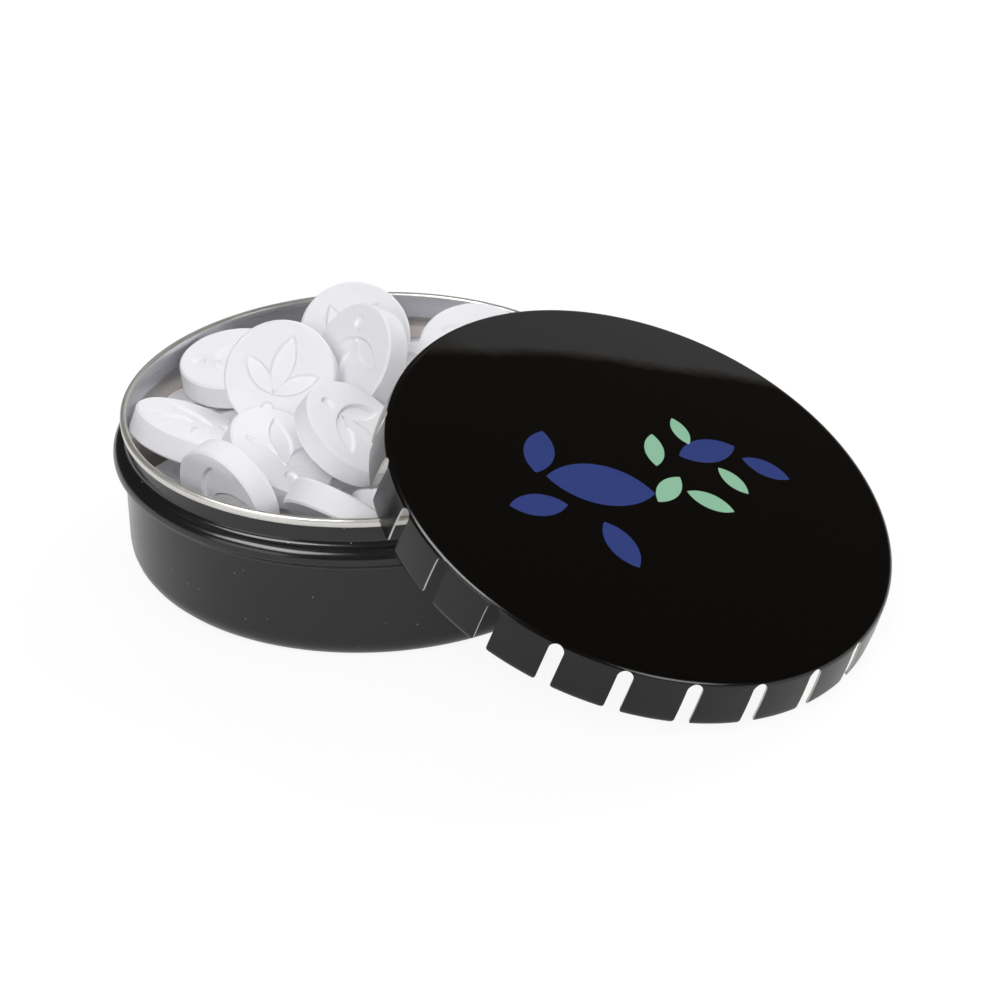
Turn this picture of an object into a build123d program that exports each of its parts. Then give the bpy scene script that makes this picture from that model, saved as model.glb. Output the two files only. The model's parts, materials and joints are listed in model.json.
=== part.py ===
# Round click tin of pressed mints, standing open with its lid leaned on the rim
from build123d import *
import os
import numpy as np

os.makedirs("parts", exist_ok=True)

# Tinplate, running clearance between loose pieces, and overrun of cuts
sheet = 0.3
seat_gap = 0.3
overrun = 1.0

# Tin body, outside sizes
tin_height = 21.7
wall_radius = 33.75
foot_corner = 3.6
bead_depth = 1.45
bead_drop = 5.6
bead_flat = 0.9
bead_slope = 1.25
bead_round = 0.9
neck_depth = 0.45
hem_width = 0.6
hem_depth = 1.2
hem_bevel = 0.35

# Lid, outside sizes measured from the level where its edge starts to turn
lid_margin = 0.05
edge_round = 0.9
dome_rise = 1.2
skirt_depth = 6.35
skirt_flare = 0.3
curl_depth = 0.9
curl_turn = 0.45
tab_count = 24
tab_corner = 0.9
slot_width = 2.1
slot_rise_share = 0.55

# How the lid lies: its centre's distance from the tin's axis, and its turn about its own axis
lid_reach_share = 1.291
lid_turn_degrees = -0.4

# Heights and radii that follow
neck_radius = wall_radius - neck_depth
bead_radius = wall_radius + bead_depth
inside_radius = neck_radius - sheet
bead_middle = tin_height - bead_drop
bead_low = bead_middle - bead_flat / 2 - bead_slope
bead_high = bead_middle + bead_flat / 2 + bead_slope
hem_low = tin_height - hem_depth
hem_radius = neck_radius + hem_width
lid_radius = bead_radius + lid_margin
lid_reach = lid_reach_share * wall_radius
panel_radius = lid_radius - edge_round
dome_top = edge_round + dome_rise
dome_radius = (panel_radius**2 + dome_rise**2) / (2 * dome_rise)
skirt_radius = lid_radius + skirt_flare
curl_start = skirt_depth - curl_depth
curl_radius = skirt_radius - curl_turn
slot_rise = slot_rise_share * edge_round

# The bead's corners are rounded as far as its flat allows
low_turn = np.arctan(bead_depth / bead_slope)
high_turn = np.arctan((bead_depth + neck_depth) / bead_slope)
corner_share = 0.998
bead_corner = min(
    bead_round, corner_share * bead_flat / (np.tan(low_turn / 2) + np.tan(high_turn / 2)))

# Tin body: one drawn cup with a rounded foot, a rolled bead, a neck and a hemmed rim
with BuildPart() as tin_base:
    with BuildSketch(Plane.XZ):
        with BuildLine():
            FilletPolyline(
                (0, 0), (wall_radius, 0), (wall_radius, bead_low),
                radius=foot_corner)
            FilletPolyline(
                (wall_radius, bead_low),
                (bead_radius, bead_middle - bead_flat / 2),
                (bead_radius, bead_middle + bead_flat / 2),
                (neck_radius, bead_high),
                radius=bead_corner)
            Polyline(
                (neck_radius, bead_high), (neck_radius, hem_low),
                (hem_radius, hem_low), (hem_radius, tin_height),
                (0, tin_height), (0, 0))
        make_face()
    revolve(axis=Axis.Z)
    with BuildSketch(Plane.XZ):
        with BuildLine():
            Polyline(
                (0, sheet), (wall_radius - foot_corner, sheet),
                (wall_radius - sheet, foot_corner),
                (wall_radius - sheet, bead_low),
                (bead_radius - sheet, bead_middle - bead_flat / 2),
                (bead_radius - sheet, bead_middle + bead_flat / 2),
                (inside_radius, bead_high),
                (inside_radius, tin_height + overrun),
                (0, tin_height + overrun), close=True)
        make_face()
    revolve(axis=Axis.Z, mode=Mode.SUBTRACT)
    chamfer(tin_base.edges().group_by(Axis.Z)[-1], hem_bevel)

tin_base.part.label = "tin_base"
export_step(tin_base.part, "parts/tin_base.step")


def lid_point(tilt, centre_height, along, across, up):
    """Place points given in the lid's own frame, for a lid that leans by tilt."""
    x = lid_reach + along * np.cos(tilt) + up * np.sin(tilt)
    z = centre_height - along * np.sin(tilt) + up * np.cos(tilt)
    return np.stack([x, across, z], axis=-1)


def lid_height(tilt):
    """Height of the lid's centre with its lowest tab ends on the floor."""
    ends = [(curl_radius, skirt_depth), (skirt_radius, curl_start)]
    return max(r * np.sin(tilt) + down * np.cos(tilt) for r, down in ends)


def rim_clearance(tilt):
    """Least distance from the skirt's lower edge to the hemmed rim."""
    turn = np.radians(np.arange(0, 360, 0.5))
    least = np.inf
    ends = [
        (curl_radius, -skirt_depth), (curl_radius - sheet, -skirt_depth),
        (skirt_radius - sheet, -curl_start)]
    for radius, up in ends:
        edge = lid_point(
            tilt, lid_height(tilt), radius * np.cos(turn), radius * np.sin(turn), up)
        across = np.abs(np.hypot(edge[:, 0], edge[:, 1]) - (inside_radius + hem_radius) / 2)
        outside_r = across - (hem_radius - inside_radius) / 2
        outside_z = np.abs(edge[:, 2] - tin_height / 2) - tin_height / 2
        apart = np.hypot(np.maximum(outside_r, 0), np.maximum(outside_z, 0))
        apart += np.minimum(np.maximum(outside_r, outside_z), 0)
        least = min(least, apart.min())
    return least


# The lid leans just far enough to lie on the rim
flat_tilt, steep_tilt = 0.0, np.pi / 3
for _ in range(40):
    lid_tilt = (flat_tilt + steep_tilt) / 2
    if rim_clearance(lid_tilt) < seat_gap:
        flat_tilt = lid_tilt
    else:
        steep_tilt = lid_tilt
print("lid leans", np.degrees(lid_tilt), "centre height", lid_height(lid_tilt))

lid_origin = (lid_reach, 0, lid_height(lid_tilt))
lid_plane = Plane(
    lid_origin,
    x_dir=(np.cos(lid_tilt), 0, -np.sin(lid_tilt)),
    z_dir=(np.sin(lid_tilt), 0, np.cos(lid_tilt)))
lid_section = Plane(lid_origin, x_dir=lid_plane.x_dir, z_dir=-lid_plane.y_dir)

# One slot between two tabs, with a round top and the tabs' rounded lower corners
half_slot = slot_width / 2
with BuildPart() as slot_cutter:
    with BuildSketch(Plane.YZ.offset(curl_radius - sheet - overrun)):
        with BuildLine():
            CenterArc((0, slot_rise - half_slot), half_slot, 0, 180)
            Line((half_slot, slot_rise - half_slot), (half_slot, tab_corner - skirt_depth))
            Line((half_slot, tab_corner - skirt_depth), (half_slot + tab_corner, -skirt_depth))
            Polyline(
                (half_slot + tab_corner, -skirt_depth),
                (half_slot + tab_corner, -skirt_depth - overrun),
                (-half_slot - tab_corner, -skirt_depth - overrun),
                (-half_slot - tab_corner, -skirt_depth))
            Line((-half_slot - tab_corner, -skirt_depth), (-half_slot, tab_corner - skirt_depth))
            Line((-half_slot, tab_corner - skirt_depth), (-half_slot, slot_rise - half_slot))
        make_face()
    extrude(amount=curl_turn + sheet + 2 * overrun)

# Lid: domed panel, rounded edge, and a skirt cut into springy tabs curled in at their ends
with BuildPart(lid_plane) as lid:
    with BuildSketch(lid_section):
        with BuildLine():
            RadiusArc((0, dome_top), (panel_radius, edge_round), dome_radius)
            RadiusArc((panel_radius, edge_round), (lid_radius, 0), edge_round)
            Polyline(
                (lid_radius, 0), (skirt_radius, -curl_start), (curl_radius, -skirt_depth),
                (curl_radius - sheet, -skirt_depth), (skirt_radius - sheet, -curl_start),
                (lid_radius - sheet, 0))
            Line((lid_radius - sheet, 0), (panel_radius, edge_round - sheet))
            RadiusArc((panel_radius, edge_round - sheet), (0, dome_top - sheet), -dome_radius)
            Line((0, dome_top - sheet), (0, dome_top))
        make_face()
    revolve(axis=Axis(lid_origin, lid_plane.z_dir))
    with PolarLocations(0, tab_count, start_angle=lid_turn_degrees):
        add(slot_cutter.part, mode=Mode.SUBTRACT)

lid.part.label = "lid"
export_step(lid.part, "parts/lid.step")

# Mints: pressed discs, loose in the tin
mint_radius = 7.85
mint_thickness = 3.7
mint_gap = 0.12
mint_reach = inside_radius - mint_radius - seat_gap
nudge = mint_thickness / 32

# Where the mints lie, layer by layer: the plan place of each centre as shares of the reach from the
# tin's axis, its height as a share of the tin's, its lean in degrees and the bearing it leans towards
floor_shares = [
    (0.00, 0.00, 0.11, 0, 0), (0.15, -0.89, 0.12, 2, 75), (-0.49, -0.77, 0.13, 2, 65),
    (0.92, 0.01, 0.14, 4, 205), (0.71, 0.62, 0.15, 5, 220), (0.73, -0.61, 0.15, 6, 145),
    (0.14, 0.94, 0.15, 6, 285), (-0.50, 0.83, 0.16, 8, 310), (-0.93, 0.34, 0.17, 10, 330),
    (-0.94, -0.31, 0.18, 10, 5)]
middle_shares = [
    (-0.05, 0.05, 0.30, 0, 0), (-0.14, -0.91, 0.31, 2, 75), (0.95, 0.09, 0.33, 4, 205),
    (0.61, -0.75, 0.33, 5, 145), (0.63, 0.71, 0.33, 5, 220), (-0.10, 0.96, 0.35, 6, 285),
    (-0.78, -0.57, 0.35, 8, 10), (-0.90, 0.33, 0.35, 10, 330)]
upper_shares = [
    (0.47, -0.32, 0.50, 141, 289), (0.61, 0.27, 0.52, 6, 165), (0.50, 0.86, 0.60, 25, 135),
    (0.94, -0.42, 0.64, 43, 345)]
top_shares = [
    (-0.24, 0.97, 0.61, 3, 330), (-1.00, -0.07, 0.63, 5, 140), (0.41, -0.85, 0.75, 131, 265),
    (-0.21, -1.01, 0.79, 99, 260), (-0.76, -0.65, 0.86, 23, 58), (-0.20, -0.58, 0.82, 32, 11),
    (0.05, 0.45, 0.83, 29, 294), (0.07, 0.97, 0.86, 24, 306), (-0.99, 0.11, 0.87, 7, 267),
    (0.08, -0.29, 0.94, 38, 12), (-0.51, 0.61, 0.98, 49, 309), (-0.53, -0.07, 1.04, 49, 293),
    (-0.23, 0.26, 1.07, 56, 248)]
ring_turn = np.radians(np.arange(0, 360, 5))
ways = [
    np.array([x, y, z]) for x in (-1, 0, 1) for y in (-1, 0, 1) for z in (-1, 0, 1)
    if (x, y, z) != (0, 0, 0)]
upwards = [np.array([0, 0, 1])]
near_steps = 8


def facing(lean, bearing):
    """Unit axis of a mint that leans towards a bearing, both in degrees."""
    lean, bearing = np.radians(lean), np.radians(bearing)
    return np.array([
        np.sin(lean) * np.cos(bearing), np.sin(lean) * np.sin(bearing), np.cos(lean)])


def mint_points(centre, axis):
    """Points on a mint's two edges and two faces."""
    side = np.cross(axis, (0, 0, 1)) if abs(axis[2]) < 1 else np.array([1.0, 0, 0])
    side = side / np.linalg.norm(side)
    ring = np.outer(np.cos(ring_turn), side) + np.outer(np.sin(ring_turn), np.cross(axis, side))
    ring = ring * mint_radius
    half = axis * mint_thickness / 2
    return centre + np.vstack([ring + half, ring - half, ring / 2 + half, ring / 2 - half])


def box_distance(across, up, inner, outer, low, high):
    """Signed distance of points from a ring of rectangular section."""
    past_side = np.abs(across - (inner + outer) / 2) - (outer - inner) / 2
    past_end = np.abs(up - (low + high) / 2) - (high - low) / 2
    outside = np.hypot(np.maximum(past_side, 0), np.maximum(past_end, 0))
    return (outside + np.minimum(np.maximum(past_side, past_end), 0)).min()


def mint_distance(points, centre, axis):
    """Signed distance of points from a mint."""
    along = (points - centre) @ axis
    across = np.linalg.norm(points - centre - np.outer(along, axis), axis=1)
    return box_distance(across, along, -mint_radius, mint_radius, -mint_thickness / 2,
                        mint_thickness / 2)


lid_axes = np.array([
    (np.cos(lid_tilt), 0, -np.sin(lid_tilt)), (0, 1, 0), (np.sin(lid_tilt), 0, np.cos(lid_tilt))])
tab_ends = lid_point(
    lid_tilt, lid_height(lid_tilt), curl_radius * np.cos(ring_turn),
    curl_radius * np.sin(ring_turn), -skirt_depth)


def clearance(centre, axis, others):
    """Least distance from a mint to the tin, the lid and the other mints."""
    points = mint_points(centre, axis)
    out, up = np.hypot(points[:, 0], points[:, 1]), points[:, 2]
    foot = (wall_radius - foot_corner - sheet - out + up) / np.sqrt(2)
    gaps = [
        up.min() - sheet, foot.min(),
        box_distance(out, up, inside_radius, bead_radius, 0, tin_height)]
    in_lid = (points - lid_origin) @ lid_axes.T
    out, up = np.hypot(in_lid[:, 0], in_lid[:, 1]), in_lid[:, 2]
    gaps += [
        box_distance(out, up, curl_radius - sheet, skirt_radius, -skirt_depth, 0),
        box_distance(out, up, 0, lid_radius, edge_round - sheet, dome_top),
        mint_distance(tab_ends, centre, axis)]
    for other, other_axis in others:
        if np.linalg.norm(other - centre) < 2 * mint_radius + mint_thickness:
            gaps += [
                mint_distance(points, other, other_axis),
                mint_distance(mint_points(other, other_axis), centre, axis)]
    return min(gaps)


def rest(place, others):
    """Put a mint in the free spot nearest to its place, then lower it on to what carries it."""
    axis = facing(place[3], place[4])
    wanted = np.array([place[0] * mint_reach, place[1] * mint_reach, place[2] * tin_height])
    centre = wanted
    steps = 0
    while clearance(centre, axis, others) < mint_gap:
        steps += 1
        spots = [
            wanted + way * nudge * steps for way in (ways if steps <= near_steps else upwards)]
        gaps = [clearance(spot, axis, others) for spot in spots]
        centre = spots[int(np.argmax(gaps))]
    while clearance(centre, axis, others) > seat_gap:
        centre = centre - np.array([0, 0, nudge])
    return centre, axis


# Mints, each its own loose piece
resting = []
for number, place in enumerate(floor_shares + middle_shares + upper_shares + top_shares, start=1):
    centre, axis = rest(place, resting)
    resting.append((centre, axis))
    mint_name = f"mint_{number:02d}"
    with BuildPart(Plane(tuple(centre), z_dir=tuple(axis))) as mint:
        Cylinder(mint_radius, mint_thickness)
    mint.part.label = mint_name
    export_step(mint.part, f"parts/{mint_name}.step")
    moved = centre - np.array([place[0] * mint_reach, place[1] * mint_reach, place[2] * tin_height])
    print(mint_name, "rests at", np.round(centre, 2), "moved by", np.round(moved, 2))
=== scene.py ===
# Round click tin of pressed mints, open, with its slotted lid leaned on the rim
import json
import math
import bmesh
import bpy
import numpy as np
from mathutils import Matrix, Vector


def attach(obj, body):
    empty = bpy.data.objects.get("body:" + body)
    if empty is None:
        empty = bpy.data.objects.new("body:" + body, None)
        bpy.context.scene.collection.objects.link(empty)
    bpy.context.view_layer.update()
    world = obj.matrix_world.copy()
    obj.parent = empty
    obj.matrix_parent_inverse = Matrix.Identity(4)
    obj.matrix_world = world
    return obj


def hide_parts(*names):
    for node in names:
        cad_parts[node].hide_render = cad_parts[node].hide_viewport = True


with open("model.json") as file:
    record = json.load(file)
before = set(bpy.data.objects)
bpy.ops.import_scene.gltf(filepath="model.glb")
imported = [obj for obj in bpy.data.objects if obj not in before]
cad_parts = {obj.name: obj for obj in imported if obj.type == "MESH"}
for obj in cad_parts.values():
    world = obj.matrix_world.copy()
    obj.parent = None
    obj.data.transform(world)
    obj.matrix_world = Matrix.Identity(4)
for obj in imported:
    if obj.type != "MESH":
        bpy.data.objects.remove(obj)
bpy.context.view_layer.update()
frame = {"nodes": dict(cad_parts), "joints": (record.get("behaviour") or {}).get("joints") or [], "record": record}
mm = 0.001  # the forms of the pieces are in mm; finishes and the studio are in metres unless they say so

# Meshes


# Put points, in metres, and their faces into a merged mesh with outward faces.
def meshPiece(name, points, faces, faceSlots=None, flatUv=None, sharpAngle=35.0):
    mesh = bpy.data.meshes.new(name)
    corners = np.concatenate([block.ravel() for block in faces])
    sizes = np.concatenate([np.full(len(block), block.shape[1]) for block in faces])
    mesh.vertices.add(len(points))
    mesh.vertices.foreach_set("co", np.asarray(points, np.float32).ravel())
    mesh.loops.add(len(corners))
    mesh.loops.foreach_set("vertex_index", corners.astype(np.int32))
    mesh.polygons.add(len(sizes))
    starts = np.concatenate([[0], np.cumsum(sizes)[:-1]])
    mesh.polygons.foreach_set("loop_start", starts.astype(np.int32))
    if faceSlots is not None:
        mesh.polygons.foreach_set("material_index", np.asarray(faceSlots, np.int32))
    if flatUv is not None:
        layer = mesh.uv_layers.new(name="flatPlan")
        layer.data.foreach_set("uv", flatUv[corners].astype(np.float32).ravel())
    mesh.update(calc_edges=True)
    tidyMesh(mesh, sharpAngle)
    piece = bpy.data.objects.new(name, mesh)
    bpy.context.scene.collection.objects.link(piece)
    return piece


# Points nearer than the first of these, in metres, are merged, and edges shorter than the second closed.
mergeReach = 1e-7
sliverReach = 1e-8


# Merge doubles, close poles, turn the faces outwards and keep crisp edges crisp.
def tidyMesh(mesh, sharpAngle):
    work = bmesh.new()
    work.from_mesh(mesh)
    bmesh.ops.remove_doubles(work, verts=work.verts, dist=mergeReach)
    bmesh.ops.dissolve_degenerate(work, edges=work.edges, dist=sliverReach)
    bmesh.ops.recalc_face_normals(work, faces=work.faces)
    work.to_mesh(mesh)
    work.free()
    mesh.shade_smooth()
    mesh.set_sharp_from_angle(angle=math.radians(sharpAngle))


# Quads over a grid of points stored row by row; the last column may be joined to the first.
def gridFaces(rows, columns, wrapColumns=False):
    row, column = np.meshgrid(
        np.arange(rows - 1), np.arange(columns if wrapColumns else columns - 1), indexing="ij")
    row, column = row.ravel(), column.ravel()
    nextRow, nextColumn = row + 1, (column + 1) % columns
    return np.stack([
        row * columns + column, row * columns + nextColumn,
        nextRow * columns + nextColumn, nextRow * columns + column], axis=1)


# Points on an arc: the centre plus the radius along each angle.
def arcPoints(centre, radius, startDegrees, endDegrees, count):
    turn = np.radians(np.linspace(startDegrees, endDegrees, count))
    return np.stack([centre[0] + radius * np.cos(turn), centre[1] + radius * np.sin(turn)], 1)


# A path of straight runs whose inner corners are replaced by arcs tangent to both runs.
def roundedPath(corners, radii, count=8, nearlyStraight=1e-3):
    corners = np.asarray(corners, float)
    path = [corners[:1]]
    for before, corner, after, radius in zip(corners, corners[1:], corners[2:], radii):
        backward = (before - corner) / np.linalg.norm(before - corner)
        forward = (after - corner) / np.linalg.norm(after - corner)
        halfTurn = math.acos(np.clip(backward @ forward, -1, 1)) / 2
        if radius <= 0 or halfTurn > math.pi / 2 - nearlyStraight:
            path.append(corner[None])
            continue
        middle = backward + forward
        centre = corner + middle / np.linalg.norm(middle) * radius / math.sin(halfTurn)
        start = corner + backward * radius / math.tan(halfTurn) - centre
        end = corner + forward * radius / math.tan(halfTurn) - centre
        first, last = math.atan2(start[1], start[0]), math.atan2(end[1], end[0])
        sweep = (last - first + math.pi) % (2 * math.pi) - math.pi
        turn = first + np.linspace(0, sweep, count)
        path.append(centre + radius * np.stack([np.cos(turn), np.sin(turn)], 1))
    path.append(corners[-1:])
    return np.concatenate(path)


# Materials


# A material with its shader's own sockets set.
def newMaterial(name, colour, roughness, metallic=0.0):
    material = bpy.data.materials.new(name)
    material.use_nodes = True
    shader = material.node_tree.nodes["Principled BSDF"]
    shader.inputs["Base Color"].default_value = (*colour, 1)
    shader.inputs["Roughness"].default_value = roughness
    shader.inputs["Metallic"].default_value = metallic
    return material, material.node_tree, shader


# A node with some of its sockets set or linked by name or index.
def addNode(tree, kind, **sockets):
    node = tree.nodes.new(kind)
    for key, value in sockets.items():
        plug(tree, node, key, value)
    return node


# Set a node's input, or link another node's output to it.
def plug(tree, node, key, value):
    socket = node.inputs[int(key[1:])] if key[0] == "i" and key[1:].isdigit() else node.inputs[key]
    if isinstance(value, bpy.types.NodeSocket):
        tree.links.new(value, socket)
    else:
        socket.default_value = value


# One step of arithmetic on numbers or node outputs.
def calc(tree, operation, *values):
    node = tree.nodes.new("ShaderNodeMath")
    node.operation = operation
    for place, value in enumerate(values):
        plug(tree, node, f"i{place}", value)
    return node.outputs[0]


# Noise over a place, from 0 to 1.
def noise(tree, place, scale, detail=3.0):
    node = addNode(tree, "ShaderNodeTexNoise", Vector=place, Scale=scale, Detail=detail)
    return node.outputs["Fac"]


# Map a value's range to another, clamped.
def ramp(tree, value, low, high, lowResult, highResult):
    node = addNode(tree, "ShaderNodeMapRange", i0=value, i1=low, i2=high, i3=lowResult, i4=highResult)
    return node.outputs[0]


# A result that follows a noise, whose values lie mostly between usualLow and usualHigh.
def fromNoise(tree, cloud, lowResult, highResult, usualLow=0.3, usualHigh=0.7):
    return ramp(tree, cloud, usualLow, usualHigh, lowResult, highResult)


# Where a node tree reads the piece's own place, which its body carries along.
def piecePlace(tree):
    return tree.nodes.new("ShaderNodeTexCoord").outputs["Object"]


# Light the surface as if it rose by this height times the distance, which is in metres.
def bump(tree, shader, height, distance, strength=1.0):
    node = addNode(tree, "ShaderNodeBump", Height=height, Distance=distance, Strength=strength)
    tree.links.new(node.outputs["Normal"], shader.inputs["Normal"])


# Blend two colours.
def mixColour(tree, share, first, second):
    node = tree.nodes.new("ShaderNodeMix")
    node.data_type = "RGBA"
    plug(tree, node, "i0", share)
    plug(tree, node, "i6", first)
    plug(tree, node, "i7", second)
    return node.outputs[2]


lacquerFinish = {
    "colour": (0.0112, 0.0107, 0.0117), "roughness": 0.19, "mottleScale": 900.0, "mottleSpread": 0.015,
    "speck": (0.30, 0.30, 0.31), "speckScale": 520.0, "speckSize": 0.045}


# Dark satin lacquer with faint mottling and a few specks of sugar dust.
def lacqueredTin():
    f = lacquerFinish
    material, tree, shader = newMaterial("tinLacquer", f["colour"], f["roughness"])
    place = piecePlace(tree)
    mottling = noise(tree, place, f["mottleScale"])
    plug(tree, shader, "Roughness", fromNoise(
        tree, mottling, f["roughness"] - f["mottleSpread"], f["roughness"] + f["mottleSpread"]))
    cells = addNode(tree, "ShaderNodeTexVoronoi", Vector=place, Scale=f["speckScale"])
    speck = calc(tree, "LESS_THAN", cells.outputs["Distance"], f["speckSize"])
    plug(tree, shader, "Base Color", mixColour(tree, speck, (*f["colour"], 1), (*f["speck"], 1)))
    return material


hemFinish = {
    "colour": (0.735, 0.725, 0.69), "roughness": 0.34, "metallic": 0.75,
    "cloudScale": 260.0, "darkest": 0.85, "roughnessSpread": 0.06}


# Bare tinplate of the hem, faintly clouded.
def bareTinplate():
    f = hemFinish
    material, tree, shader = newMaterial("brightHem", f["colour"], f["roughness"], f["metallic"])
    cloud = noise(tree, piecePlace(tree), f["cloudScale"])
    plug(tree, shader, "Base Color", mixColour(
        tree, cloud, (*[share * f["darkest"] for share in f["colour"]], 1), (*f["colour"], 1)))
    plug(tree, shader, "Roughness", fromNoise(
        tree, cloud, f["roughness"] - f["roughnessSpread"], f["roughness"] + f["roughnessSpread"]))
    return material


insideFinish = {
    "colour": (0.76, 0.765, 0.80), "roughness": 0.32, "metallic": 0.85,
    "streakScale": (60, 60, 2500), "streakSpread": (-0.06, 0.08), "streakDepth": 0.000006,
    # the painted warm shade and the dullness fade out between these heights, and the cloud lowers them by up to
    # its depth
    "dullPaintedShade": (0.66, 0.605, 0.565), "shadeFade": (0.0165, 0.0195), "dullMetallic": 0.1, "dullRoughness": 0.35,
    "cloudScale": 150.0, "cloudDepth": 0.004}


# Tinplate inside the tin, drawn and faintly streaked; lower down it is duller, with painted warm shade in its
# colour.
def insideTinplate():
    f = insideFinish
    material, tree, shader = newMaterial("insideSheet", f["colour"], f["roughness"], f["metallic"])
    place = piecePlace(tree)
    stretched = addNode(tree, "ShaderNodeMapping", Vector=place, Scale=f["streakScale"]).outputs[0]
    streaks = noise(tree, stretched, 1.0)
    cloud = noise(tree, place, f["cloudScale"])
    height = addNode(tree, "ShaderNodeSeparateXYZ", Vector=place).outputs["Z"]
    level = calc(tree, "ADD", height, calc(tree, "MULTIPLY", cloud, f["cloudDepth"]))
    # lower down the colour turns to a painted warm shade and the sheet turns duller
    dullPaintedShade = ramp(tree, level, *f["shadeFade"], 1.0, 0.0)
    plug(tree, shader, "Base Color", mixColour(tree, dullPaintedShade, (*f["colour"], 1), (*f["dullPaintedShade"], 1)))
    plug(tree, shader, "Metallic", ramp(tree, dullPaintedShade, 0.0, 1.0, f["metallic"], f["dullMetallic"]))
    clean = fromNoise(tree, streaks, *[f["roughness"] + spread for spread in f["streakSpread"]])
    plug(tree, shader, "Roughness", calc(
        tree, "ADD", clean, calc(tree, "MULTIPLY", dullPaintedShade, f["dullRoughness"])))
    bump(tree, shader, streaks, f["streakDepth"])
    return material


varnishFinish = {
    "colour": (0.80, 0.765, 0.71), "roughness": 0.32, "metallic": 0.7,
    "cloudScale": 150.0, "roughnessSpread": (-0.05, 0.08)}


# Varnished tinplate inside the lid, clean and slightly creamy.
def lidInside():
    f = varnishFinish
    material, tree, shader = newMaterial("lidInside", f["colour"], f["roughness"], f["metallic"])
    cloud = noise(tree, piecePlace(tree), f["cloudScale"])
    plug(tree, shader, "Roughness", fromNoise(
        tree, cloud, *[f["roughness"] + spread for spread in f["roughnessSpread"]]))
    return material


edgeFinish = {
    "colour": (0.68, 0.65, 0.61), "metallic": 0.6, "roughness": (0.28, 0.45), "grainScale": 3000.0}


# The sheet's cut edge, bright and slightly rough.
def cutEdge():
    f = edgeFinish
    material, tree, shader = newMaterial("cutEdge", f["colour"], f["roughness"][0], f["metallic"])
    grain = noise(tree, piecePlace(tree), f["grainScale"])
    plug(tree, shader, "Roughness", fromNoise(tree, grain, *f["roughness"]))
    return material


mintFinish = {
    "colour": (0.86, 0.86, 0.885), "shade": (0.83, 0.83, 0.86), "cloudScale": 260.0,
    "cloudDetail": 2.0, "roughness": (0.62, 0.76), "specular": 0.25,
    "grainScale": 2600.0, "grainDetail": 4.0, "grainDepth": 0.00004, "grainStrength": 0.6}


# Chalky white pressed sugar with a fine grain.
def pressedSugar():
    f = mintFinish
    material, tree, shader = newMaterial("pressedSugar", f["colour"], f["roughness"][0])
    shader.inputs["Specular IOR Level"].default_value = f["specular"]
    place = piecePlace(tree)
    grain = noise(tree, place, f["grainScale"], f["grainDetail"])
    cloud = noise(tree, place, f["cloudScale"], f["cloudDetail"])
    plug(tree, shader, "Base Color", mixColour(tree, cloud, (*f["shade"], 1), (*f["colour"], 1)))
    plug(tree, shader, "Roughness", fromNoise(tree, grain, *f["roughness"]))
    bump(tree, shader, grain, f["grainDepth"], f["grainStrength"])
    return material


lidPrint = {
    "lacquer": (0.0030, 0.0026, 0.0022), "blue": (0.032, 0.050, 0.190), "green": (0.265, 0.500, 0.340),
    "specular": 0.43, "panelRoughness": (0.01, 0.025),
    # between these lengths in mm from the middle the roughness rises by this much, for the edge and skirt
    "skirtReach": (34.2, 34.7), "skirtRoughness": 0.17,
    # the lacquer's waves, broad and fine, their height, and the fine ones' share of it
    "broadScale": 50.0, "broadDetail": 1.0, "fineScale": 500.0, "fineDetail": 2.0,
    "waveDepth": 0.00005, "fineShare": 0.03,
    # each leaf: middle along and across the lid in mm, its bearing in degrees, length and width in mm
    "blueLeaves": [
        (-3.5, -6.0, 40.0, 15.0, 7.6), (-12.6, -7.6, 118.0, 8.6, 4.2), (-6.8, -16.2, 52.0, 8.2, 4.0),
        (4.6, -13.2, -22.0, 8.4, 4.0), (2.2, 12.6, 66.0, 9.6, 4.4), (9.4, 17.0, 20.0, 7.0, 3.2)],
    "greenLeaves": [
        (3.0, 1.2, 96.0, 6.8, 3.0), (8.0, 4.2, 20.0, 6.8, 3.0), (-2.6, 6.2, 128.0, 6.4, 2.8),
        (7.8, 10.6, -8.0, 5.6, 2.5), (-2.4, 12.8, 150.0, 5.2, 2.3)]}


# One inside a leaf, zero outside: the overlap of two equal discs.
def leafCover(tree, along, across, leaf):
    middleX, middleY, bearing, length, width = leaf
    turn = math.radians(bearing)
    x = calc(tree, "SUBTRACT", along, middleX * mm)
    y = calc(tree, "SUBTRACT", across, middleY * mm)
    forward = calc(tree, "ADD", calc(tree, "MULTIPLY", x, math.cos(turn)),
                   calc(tree, "MULTIPLY", y, math.sin(turn)))
    sideways = calc(tree, "SUBTRACT", calc(tree, "MULTIPLY", y, math.cos(turn)),
                    calc(tree, "MULTIPLY", x, math.sin(turn)))
    radius = (length**2 + width**2) / (4 * width) * mm
    reach = calc(tree, "ADD", calc(tree, "ABSOLUTE", sideways), radius - width / 2 * mm)
    square = calc(tree, "ADD", calc(tree, "MULTIPLY", forward, forward),
                  calc(tree, "MULTIPLY", reach, reach))
    return calc(tree, "LESS_THAN", square, radius**2)


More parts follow.
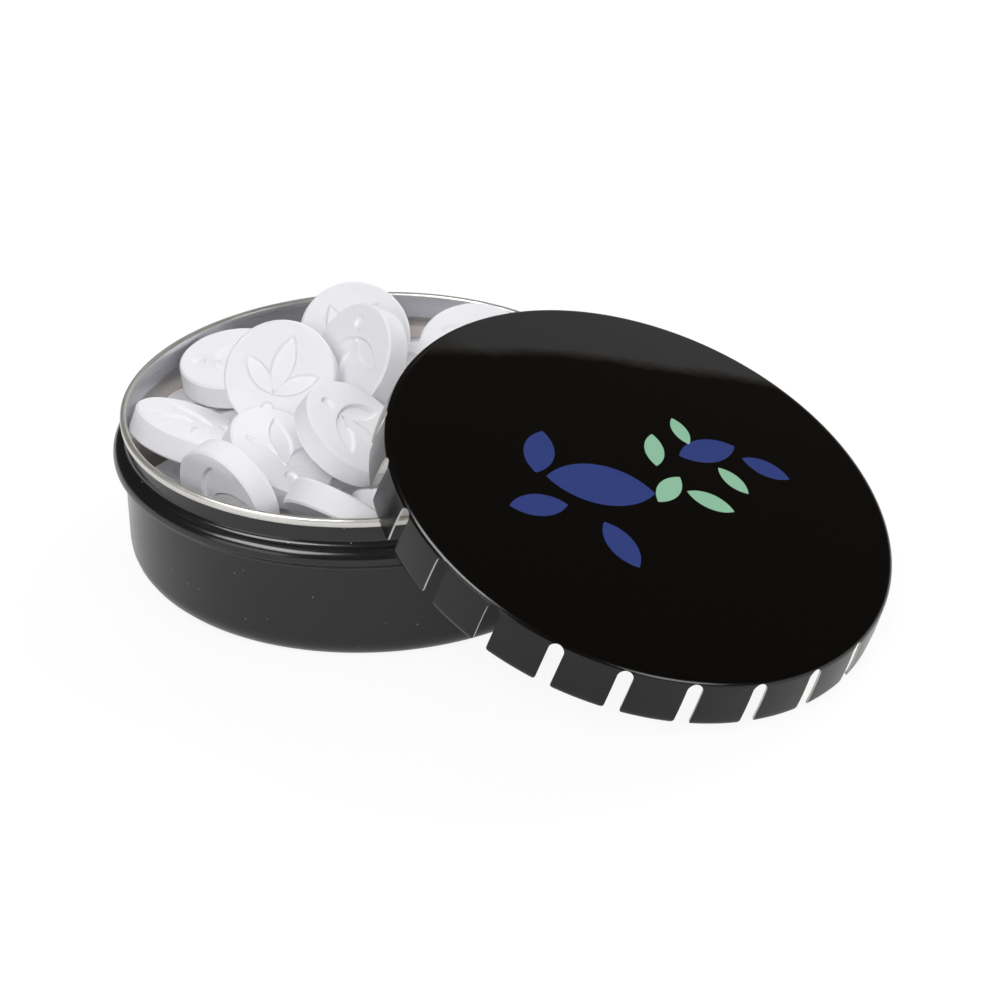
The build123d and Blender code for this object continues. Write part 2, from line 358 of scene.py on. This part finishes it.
# Near-black gloss lacquer printed with plain leaves in two colours.
def printedLid():
    f = lidPrint
    material, tree, shader = newMaterial("printedLid", f["lacquer"], f["panelRoughness"][0])
    shader.inputs["Specular IOR Level"].default_value = f["specular"]
    plan = addNode(tree, "ShaderNodeUVMap")
    plan.uv_map = "flatPlan"
    split = addNode(tree, "ShaderNodeSeparateXYZ", Vector=plan.outputs["UV"])
    along, across = split.outputs["X"], split.outputs["Y"]
    colour = (*f["lacquer"], 1)
    for leaves, ink in (("blueLeaves", "blue"), ("greenLeaves", "green")):
        covers = [leafCover(tree, along, across, leaf) for leaf in f[leaves]]
        cover = covers[0]
        for other in covers[1:]:
            cover = calc(tree, "MAXIMUM", cover, other)
        colour = mixColour(tree, cover, colour, (*f[ink], 1))
    plug(tree, shader, "Base Color", colour)
    place = piecePlace(tree)
    fromMiddle = calc(tree, "SQRT", calc(tree, "ADD", calc(tree, "MULTIPLY", along, along),
                                         calc(tree, "MULTIPLY", across, across)))
    skirt = ramp(tree, fromMiddle, *[reach * mm for reach in f["skirtReach"]], 0.0, f["skirtRoughness"])
    panel = fromNoise(tree, noise(tree, place, f["fineScale"]), *f["panelRoughness"])
    plug(tree, shader, "Roughness", calc(tree, "ADD", panel, skirt))
    broad = noise(tree, place, f["broadScale"], f["broadDetail"])
    fine = noise(tree, place, f["fineScale"], f["fineDetail"])
    waves = calc(tree, "ADD", broad, calc(tree, "MULTIPLY", fine, f["fineShare"]))
    bump(tree, shader, waves, f["waveDepth"])
    return material


# Tin body

tinForm = {
    "height": 21.7, "wallRadius": 33.75, "footCorner": 3.6, "sheet": 0.3,
    "beadRadius": 35.2, "beadMiddle": 16.4, "beadFlat": 1.5, "beadSlope": 1.25, "beadRound": 1.5,
    "beadUnder": 0.4, "slopeRound": 0.8, "shoulderDrop": 0.65, "shoulderRound": 0.9, "neckRadius": 33.3,
    "hemWidth": 0.6, "hemDepth": 1.2, "hemRound": 0.44, "hemUnderRound": 0.3,
    # how far the paint reaches out under the hem, and its rounding there
    "paintUnder": 0.2, "paintRound": 0.08,
    # the roundings inside, from the neck down, and the points round the tin
    "innerRounds": (0.6, 0.8, 0.4, 0.8), "steps": 288, "sharpDegrees": 40.0}


# The cup's section in three stretches, straight runs with rounded corners: painted outside, bare hem
# and inside.
def tinProfile():
    t = tinForm
    low, high = t["beadMiddle"] - t["beadFlat"] / 2, t["beadMiddle"] + t["beadFlat"] / 2
    hemLow, hemRadius = t["height"] - t["hemDepth"], t["neckRadius"] + t["hemWidth"]
    hemUnder = t["neckRadius"] + t["paintUnder"]
    outer = roundedPath(
        [(0, 0), (t["wallRadius"], 0), (t["wallRadius"], low - t["beadSlope"]), (t["beadRadius"], low),
         (t["beadRadius"], high), (t["neckRadius"], high + t["shoulderDrop"]),
         (t["neckRadius"], hemLow), (hemUnder, hemLow)],
        [t["footCorner"], t["slopeRound"], t["beadUnder"], t["beadRound"], t["shoulderRound"],
         t["paintRound"]])
    sheet = t["sheet"]
    hem = roundedPath(
        [(hemUnder, hemLow), (hemRadius, hemLow), (hemRadius, t["height"]),
         (t["neckRadius"] - sheet, t["height"]), (t["neckRadius"] - sheet, hemLow)],
        [t["hemUnderRound"], t["hemRound"], t["hemRound"]])
    inner = roundedPath(
        [(t["neckRadius"] - sheet, hemLow), (t["neckRadius"] - sheet, high + t["shoulderDrop"]),
         (t["beadRadius"] - sheet, high), (t["beadRadius"] - sheet, low),
         (t["wallRadius"] - sheet, low - t["beadSlope"]), (t["wallRadius"] - sheet, sheet), (0, sheet)],
        [*t["innerRounds"], t["footCorner"] - sheet])
    return outer, hem, inner


# Turn the section round the upright axis: radius times the cosine and sine of the turn.
def buildTin():
    outer, hem, inner = tinProfile()
    section = np.concatenate([outer, hem, inner]) * mm
    turn = np.linspace(0, 2 * math.pi, tinForm["steps"], endpoint=False)
    points = np.stack([
        np.outer(section[:, 0], np.cos(turn)), np.outer(section[:, 0], np.sin(turn)),
        np.repeat(section[:, 1:], len(turn), axis=1)], axis=-1)
    faces = gridFaces(len(section), len(turn), wrapColumns=True)
    rowOfFace = np.repeat(np.arange(len(section) - 1), len(turn))
    hemStart = len(outer) - 1  # each stretch starts at the point where the one before ends
    insideStart = hemStart + len(hem) - 1
    slots = (rowOfFace >= hemStart).astype(int) + (rowOfFace >= insideStart)
    tin = meshPiece("tinBody", points.reshape(-1, 3), [faces], slots, sharpAngle=tinForm["sharpDegrees"])
    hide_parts("tin_base")
    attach(tin, "tin")
    return tin


# Lid

lidForm = {
    "radius": 35.25, "edgeRound": 0.9, "domeRise": 1.2, "skirtDepth": 6.35, "skirtFlare": 0.3,
    "skirtBow": 0.08, "curlDepth": 0.9, "curlTurn": 0.45, "sheet": 0.3, "tabs": 24, "turnDegrees": -0.4,
    # the slots' tops are this high above the skirt, in the edge
    "slotWidth": 2.1, "slotTop": 0.495, "tabCorner": 1.0,
    # the angle in degrees on the edge's rounding where it starts, and how the dome's points crowd outwards
    "edgeTurn": 88, "crowding": 0.9,
    # points along the dome, edge, skirt and curl
    "domePoints": 40, "edgePoints": 24, "skirtPoints": 20, "curlPoints": 24,
    # the mesh's rows over the edge, each rounding and the tab's length, and its columns across a tab
    "edgeRows": 5, "roundRows": 10, "tabRows": 15, "columns": 14, "sharpDegrees": 40,
    "smallestRadius": 1e-6}  # what the middle's radius counts as where it divides


# The lid's middle at the level where its edge turns into the skirt, and its axes, from the CAD node.
def lidPlace():
    upward = Vector(next(j for j in frame["joints"] if j["child"] == "lid")["axis"]).normalized()
    across = Vector((0, 1, 0))
    along = across.cross(upward).normalized()
    node = frame["nodes"]["lid"].data
    points = np.empty(len(node.vertices) * 3)
    node.vertices.foreach_get("co", points)
    local = points.reshape(-1, 3) @ np.array([along, across, upward]).T
    middle = (local.min(0) + local.max(0)) / 2
    level = local[:, 2].max() - (lidForm["edgeRound"] + lidForm["domeRise"]) * mm
    axes = np.array([along, across, upward])
    return np.array([middle[0], middle[1], level]) @ axes, axes


# The lid's outer section from its middle to its tab ends, and the length along it at each point: the dome
# is an arc, the skirt flares evenly and bows by four times the share down times the share left.
def lidPath():
    f = lidForm
    panel = f["radius"] - f["edgeRound"]
    domeRadius = (panel**2 + f["domeRise"]**2) / (2 * f["domeRise"])
    reach = panel * np.sin(np.linspace(0, math.pi / 2, f["domePoints"])) ** f["crowding"]
    dome = np.stack([
        reach, f["edgeRound"] + f["domeRise"] - domeRadius + np.sqrt(domeRadius**2 - reach**2)], 1)
    roll = arcPoints((panel, 0), f["edgeRound"], f["edgeTurn"], 0, f["edgePoints"])
    flare = f["radius"] + f["skirtFlare"]
    down = np.linspace(0, 1, f["skirtPoints"])[1:-1]
    skirt = np.stack([
        f["radius"] + f["skirtFlare"] * down + 4 * f["skirtBow"] * down * (1 - down),
        down * (f["curlDepth"] - f["skirtDepth"])], 1)
    turn = np.linspace(0, math.pi / 2, f["curlPoints"])
    curl = np.stack([
        flare - f["curlTurn"] * (1 - np.cos(turn)),
        f["curlDepth"] - f["skirtDepth"] - f["curlDepth"] * np.sin(turn)], 1)
    path = np.concatenate([dome, roll, skirt, curl])
    length = np.concatenate([[0], np.cumsum(np.linalg.norm(np.diff(path, axis=0), axis=1))])
    return path, length, len(dome)


# A wedge of the section for each tab, narrowed at its sides by half a slot; the slot's half width follows
# a half circle at its top and the tab's corner arcs at its end. The flat plan unrolls the section.
def buildLid():
    f = lidForm
    path, length, domeCount = lidPath()
    rollStart = length[domeCount]
    slotTop = rollStart + f["edgeRound"] * math.radians(f["edgeTurn"] - math.degrees(
        math.asin(f["slotTop"] / f["edgeRound"])))
    half, corner, end = f["slotWidth"] / 2, f["tabCorner"], length[-1]
    arc = np.linspace(0, math.pi / 2, f["roundRows"])
    rows = np.concatenate([
        length[:domeCount], np.linspace(rollStart, slotTop, f["edgeRows"])[:-1],
        slotTop + half * (1 - np.cos(arc)),
        np.linspace(slotTop + half, end - corner, f["tabRows"])[1:-1],
        end - corner + corner * np.sin(arc)])
    past = rows - slotTop
    gap = np.where(past < half, np.sqrt(np.clip(half**2 - (half - past)**2, 0, None)), half)
    gap[past <= 0] = 0
    nearEnd = np.clip(rows - (end - corner), 0, corner)
    gap += corner - np.sqrt(np.clip(corner**2 - nearEnd**2, 0, None))
    radius = np.interp(rows, length, path[:, 0])
    height = np.interp(rows, length, path[:, 1])
    safeRadius = np.maximum(radius, f["smallestRadius"])
    share = np.linspace(-1, 1, f["columns"] + 1)
    halfTab = math.pi / f["tabs"]
    narrowed = halfTab - gap / safeRadius
    tabTurn = math.radians(f["turnDegrees"]) + halfTab + 2 * halfTab * np.arange(f["tabs"])
    turn = tabTurn[:, None, None] + narrowed[None, :, None] * share[None, None, :]
    local = np.stack([
        radius[None, :, None] * np.cos(turn), radius[None, :, None] * np.sin(turn),
        np.broadcast_to(height[None, :, None], turn.shape)], axis=-1)
    unrolled = local[..., :2] * (rows / safeRadius)[None, :, None, None] * mm
    local = local.reshape(f["tabs"], -1, 3)
    wedge = gridFaces(len(rows), len(share))
    faces = np.concatenate([wedge + k * local.shape[1] for k in range(f["tabs"])])
    middle, axes = lidPlace()
    points = local.reshape(-1, 3) * mm @ axes + middle
    lid = meshPiece("lidShell", points, [faces], None, unrolled.reshape(-1, 2))
    thicken(lid, f["sheet"] * mm)
    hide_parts("lid")
    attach(lid, "lid")
    return lid


# Give a surface its sheet's thickness inwards, with its inside and its cut edges in other slots.
def thicken(piece, thickness):
    wall = piece.modifiers.new("wall", "SOLIDIFY")
    wall.thickness = thickness
    wall.offset = -1
    wall.use_even_offset = True
    wall.material_offset = 1
    wall.material_offset_rim = 2
    for _ in range(3):
        piece.data.materials.append(None)
    solid = bpy.data.meshes.new_from_object(
        piece.evaluated_get(bpy.context.evaluated_depsgraph_get()))
    piece.modifiers.clear()
    piece.data = solid
    solid.shade_smooth()
    solid.set_sharp_from_angle(angle=math.radians(lidForm["sharpDegrees"]))


# Mints

mintForm = {
    "radius": 7.85, "thickness": 3.7, "bevel": 0.28, "press": 0.50, "wall": 0.36,
    # spokes and rings of each face, with fewer on the first mints, which the others hide
    "grid": (216, 60), "hiddenGrid": (96, 36), "hiddenCount": 10, "sharpDegrees": 32.0,
    "seed": 7,  # of the sprig's turn on each face
    # the pressed sprig: each leaf's middle, bearing in degrees, length and width, and the berry's middle
    # and radius
    "leaves": [(0.0, 1.6, 90.0, 8.2, 3.1), (2.7, -0.8, 38.0, 6.8, 2.5), (-2.7, -0.8, 142.0, 6.8, 2.5)],
    "berries": [(0.0, -5.0, 0.85)]}


# How deep the face is pressed in at a point: full inside a leaf or berry, none outside, with a smooth
# step between, three times the square of the share less twice its cube.
def pressedDepth(x, y):
    m = mintForm
    outside = np.full(x.shape, m["radius"])
    for middleX, middleY, bearing, length, width in m["leaves"]:
        turn = math.radians(bearing)
        forward = (x - middleX) * math.cos(turn) + (y - middleY) * math.sin(turn)
        sideways = (y - middleY) * math.cos(turn) - (x - middleX) * math.sin(turn)
        radius = (length**2 + width**2) / (4 * width)
        edge = np.hypot(forward, np.abs(sideways) + radius - width / 2) - radius
        outside = np.minimum(outside, edge)
    for middleX, middleY, radius in m["berries"]:
        outside = np.minimum(outside, np.hypot(x - middleX, y - middleY) - radius)
    share = np.clip(0.5 - outside / m["wall"], 0, 1)
    return m["press"] * share * share * (3 - 2 * share)


# Rings of points from the middle of one face over the bevel and band to the middle of the other: each
# lies its reach times the cosine and sine of its spoke's angle across, half the thickness less the
# pressed depth up.
def buildMint(node, number, body):
    m = mintForm
    source = np.empty(len(node.data.vertices) * 3)
    node.data.vertices.foreach_get("co", source)
    source = source.reshape(-1, 3)
    centre = (source.min(0) + source.max(0)) / 2
    axis = np.linalg.svd(source - centre, full_matrices=False)[2][2]  # the way it is thinnest
    axis = axis if axis[2] > 0 else -axis
    side = np.cross(axis, (0.3, 0.9, 0.1))  # any way across the axis
    side /= np.linalg.norm(side)
    turned = random.uniform(0, 2 * math.pi, 2)
    half, faceRadius = m["thickness"] / 2, m["radius"] - m["bevel"]
    spokes, rings = m["hiddenGrid"] if number <= m["hiddenCount"] else m["grid"]
    spoke = np.linspace(0, 2 * math.pi, spokes, endpoint=False)
    reach = np.linspace(0, faceRadius, rings)
    sheets = []
    for way, spin in zip((1, -1), turned):
        x, y = np.outer(reach, np.cos(spoke)), np.outer(reach, np.sin(spoke))
        depth = pressedDepth(
            x * math.cos(spin) - y * math.sin(spin), x * math.sin(spin) + y * math.cos(spin))
        sheets.append(np.stack([x, y, way * (half - depth)], axis=-1))
    band = []
    for height in (half - m["bevel"], m["bevel"] - half):
        band.append(np.stack([
            m["radius"] * np.cos(spoke), m["radius"] * np.sin(spoke), np.full(len(spoke), height)], 1)[None])
    local = np.concatenate([sheets[0], *band, sheets[1][::-1]]).reshape(-1, 3) * mm
    axes = np.array([side, np.cross(axis, side), axis])
    faces = gridFaces(len(local) // len(spoke), len(spoke), wrapColumns=True)
    mint = meshPiece(f"pressedMint{number:02d}", local @ axes + centre, [faces],
                     sharpAngle=m["sharpDegrees"])
    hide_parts(node.name)
    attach(mint, body)
    return mint


# The object

random = np.random.default_rng(mintForm["seed"])
tinBody = buildTin()
for material in (lacqueredTin(), bareTinplate(), insideTinplate()):
    tinBody.data.materials.append(material)
print("tin body built")

lidShell = buildLid()
for place, material in enumerate((printedLid(), lidInside(), cutEdge())):
    lidShell.data.materials[place] = material
print("lid built")

sugar = pressedSugar()
bodyOfNode = {node: body for body, nodes in frame["record"]["behaviour"]["bodies"].items() for node in nodes}
mintNodes = sorted(name for name in frame["nodes"] if name.startswith("mint_"))
for number, name in enumerate(mintNodes, start=1):
    buildMint(frame["nodes"][name], number, bodyOfNode[name]).data.materials.append(sugar)
print("mints built", len(mintNodes))

# Floor, light and camera

studio = {
    # the floor, the share of plain white that the camera sees on it near the object, that which glossy
    # faces see, and the distances over which the camera's share grows to all
    "floorSize": 6.0, "floorColour": (0.86, 0.86, 0.86), "floorWhite": 0.85, "floorGloss": 0.30,
    "whiteReach": (0.15, 0.40), "whiteStrength": 1.05,
    # the even light that matt faces get
    "fill": 0.20,
    # what glossy faces see round the object: the brightness of the backdrop behind it, of the dark
    # elsewhere and of the warm glow there, which fades above the backdrop's slanted edge over its reach
    "backdrop": 0.50, "dark": 0.015, "glow": 0.035, "glowReach": 0.9, "warm": (1, 0.82, 0.68),
    # the backdrop's slanted edge, as its level at the middle and its fall to the right, its level top and
    # its left end, each with how soft it is, and how soft its sides are towards the front
    "edgeLevel": 0.50, "edgeSlope": 1.35, "edgeSoft": 0.008, "topLevel": 0.67, "topSoft": 0.02,
    "leftLevel": -0.4, "leftSoft": 0.1, "frontSoft": 0.05,
    "lamps": [  # name, place in metres, width and height, watts, whether matt and glossy faces see it
        ("topLamp", (0.0, 0.0, 1.0), (0.7, 0.7), 0.6, True, False),
        ("frontLamp", (0.27, -0.69, 0.60), (0.5, 0.5), 5.5, True, False),
        ("rightLamp", (0.75, -0.20, 0.50), (0.5, 0.5), 1.0, True, False),
        ("backLamp", (0.10, 0.75, 0.55), (0.5, 0.5), 4.1, True, False),
        ("leftLamp", (-0.50, 0.55, 0.55), (0.5, 0.5), 1.7, True, False),
        ("softbox", (-0.21, -0.46, 0.74), (0.60, 0.36), 6.8, False, True),
        ("lowSoftbox", (-0.27, -0.83, 0.22), (0.55, 0.35), 1.2, False, True),
        ("rightSoftbox", (0.83, -0.28, 0.39), (0.5, 0.28), 2.7, False, True)],
    "aim": (0.015, 0.0, 0.012)}  # where the lamps look


# A pale floor with the object's shadow on it, nearly white to the camera, plain white farther out, and
# partly white to glossy faces.
def buildFloor():
    half = studio["floorSize"] / 2
    corners = np.array([(-half, -half, 0), (half, -half, 0), (half, half, 0), (-half, half, 0)])
    floor = meshPiece("floor", corners, [np.array([[0, 1, 2, 3]])])
    material = bpy.data.materials.new("paleFloor")
    material.use_nodes = True
    tree = material.node_tree
    tree.nodes.clear()
    rays = tree.nodes.new("ShaderNodeLightPath")
    plain = addNode(tree, "ShaderNodeBsdfDiffuse", Color=(*studio["floorColour"], 1))
    glow = addNode(tree, "ShaderNodeEmission", Color=(1, 1, 1, 1), Strength=studio["whiteStrength"])
    distance = addNode(tree, "ShaderNodeVectorMath", i0=piecePlace(tree))
    distance.operation = "LENGTH"
    white = ramp(tree, distance.outputs["Value"], *studio["whiteReach"], studio["floorWhite"], 1.0)
    share = calc(tree, "ADD", calc(tree, "MULTIPLY", rays.outputs["Is Camera Ray"], white),
                 calc(tree, "MULTIPLY", rays.outputs["Is Glossy Ray"], studio["floorGloss"]))
    both = addNode(tree, "ShaderNodeMixShader", i0=share, i1=plain.outputs[0], i2=glow.outputs[0])
    out = tree.nodes.new("ShaderNodeOutputMaterial")
    tree.links.new(both.outputs[0], out.inputs["Surface"])
    floor.data.materials.append(material)


# A ramp round a level, as far to each side as it is soft.
def softStep(tree, value, level, soft, below, above):
    return ramp(tree, value, level - soft, level + soft, below, above)


# White to the camera and an even fill to matt faces; glossy faces see a pale backdrop with a slanted edge
# behind the object, and a faint warm glow in the dark elsewhere.
def buildWorld():
    world = bpy.data.worlds.new("studio")
    bpy.context.scene.world = world
    world.use_nodes = True
    tree = world.node_tree
    tree.nodes.clear()
    rays = tree.nodes.new("ShaderNodeLightPath")
    glossy = rays.outputs["Is Glossy Ray"]
    way = addNode(tree, "ShaderNodeSeparateXYZ",
                  Vector=tree.nodes.new("ShaderNodeTexCoord").outputs["Generated"])
    level = calc(tree, "ADD", way.outputs["Z"], calc(
        tree, "MULTIPLY", way.outputs["X"], studio["edgeSlope"]))
    sheet = softStep(tree, level, studio["edgeLevel"], studio["edgeSoft"], 1.0, 0.0)
    sheet = calc(tree, "MULTIPLY", sheet, softStep(
        tree, way.outputs["Z"], studio["topLevel"], studio["topSoft"], 1.0, 0.0))
    sheet = calc(tree, "MULTIPLY", sheet, softStep(
        tree, way.outputs["X"], studio["leftLevel"], studio["leftSoft"], 0.0, 1.0))
    sheet = calc(tree, "MULTIPLY", sheet, softStep(
        tree, way.outputs["Y"], 0.0, studio["frontSoft"], 0.0, 1.0))
    backdrop = calc(tree, "ADD", studio["dark"], calc(tree, "MULTIPLY", sheet, studio["backdrop"]))
    strength = calc(tree, "MAXIMUM", rays.outputs["Is Camera Ray"], calc(
        tree, "ADD", calc(tree, "MULTIPLY", glossy, backdrop),
        calc(tree, "MULTIPLY", calc(tree, "SUBTRACT", 1.0, glossy), studio["fill"])))
    warmth = calc(tree, "MULTIPLY", glossy, calc(tree, "SUBTRACT", 1.0, sheet))
    edge = studio["edgeLevel"]
    glow = ramp(tree, level, edge, edge + studio["glowReach"], studio["glow"], 0.0)
    strength = calc(tree, "ADD", strength, calc(tree, "MULTIPLY", glow, warmth))
    tint = mixColour(tree, warmth, (1, 1, 1, 1), (*studio["warm"], 1))
    light = addNode(tree, "ShaderNodeBackground", Color=tint, Strength=strength)
    out = tree.nodes.new("ShaderNodeOutputWorld")
    tree.links.new(light.outputs[0], out.inputs["Surface"])


# Area lamps that look at the object; matt faces see some of them and glossy faces the others.
def buildLamps():
    for name, place, size, watts, lightsMatt, lightsGlossy in studio["lamps"]:
        lamp = bpy.data.lights.new(name, "AREA")
        lamp.shape = "RECTANGLE"
        lamp.size, lamp.size_y = size
        lamp.energy = watts
        stand = bpy.data.objects.new(name, lamp)
        stand.visible_diffuse, stand.visible_glossy = lightsMatt, lightsGlossy
        stand.location = place
        stand.rotation_euler = (Vector(studio["aim"]) - Vector(place)).to_track_quat("-Z", "Y").to_euler()
        bpy.context.scene.collection.objects.link(stand)


cameraForm = {
    "place": (0.24699, -0.34181, 0.24080), "aim": (0.0176, 0.00567, 0.008), "rollDegrees": -1.505,
    "focalPixels": 3461.3, "pictureWidth": 1000.0, "sensor": 36.0, "clipStart": 0.01}


# Look from the photograph's place at its middle, rolled a little about the line of sight.
def buildCamera():
    data = bpy.data.cameras.new("camera")
    data.sensor_width = cameraForm["sensor"]
    data.lens = cameraForm["focalPixels"] / cameraForm["pictureWidth"] * cameraForm["sensor"]
    data.clip_start = cameraForm["clipStart"]
    camera = bpy.data.objects.new("camera", data)
    place = Vector(cameraForm["place"])
    look = (Vector(cameraForm["aim"]) - place).to_track_quat("-Z", "Y").to_matrix().to_4x4()
    roll = Matrix.Rotation(math.radians(cameraForm["rollDegrees"]), 4, "Z")
    camera.matrix_world = Matrix.Translation(place) @ look @ roll
    bpy.context.scene.collection.objects.link(camera)
    bpy.context.scene.camera = camera


buildFloor()
buildWorld()
buildLamps()
buildCamera()
bpy.context.scene.view_settings.view_transform = "Standard"
print("studio built")
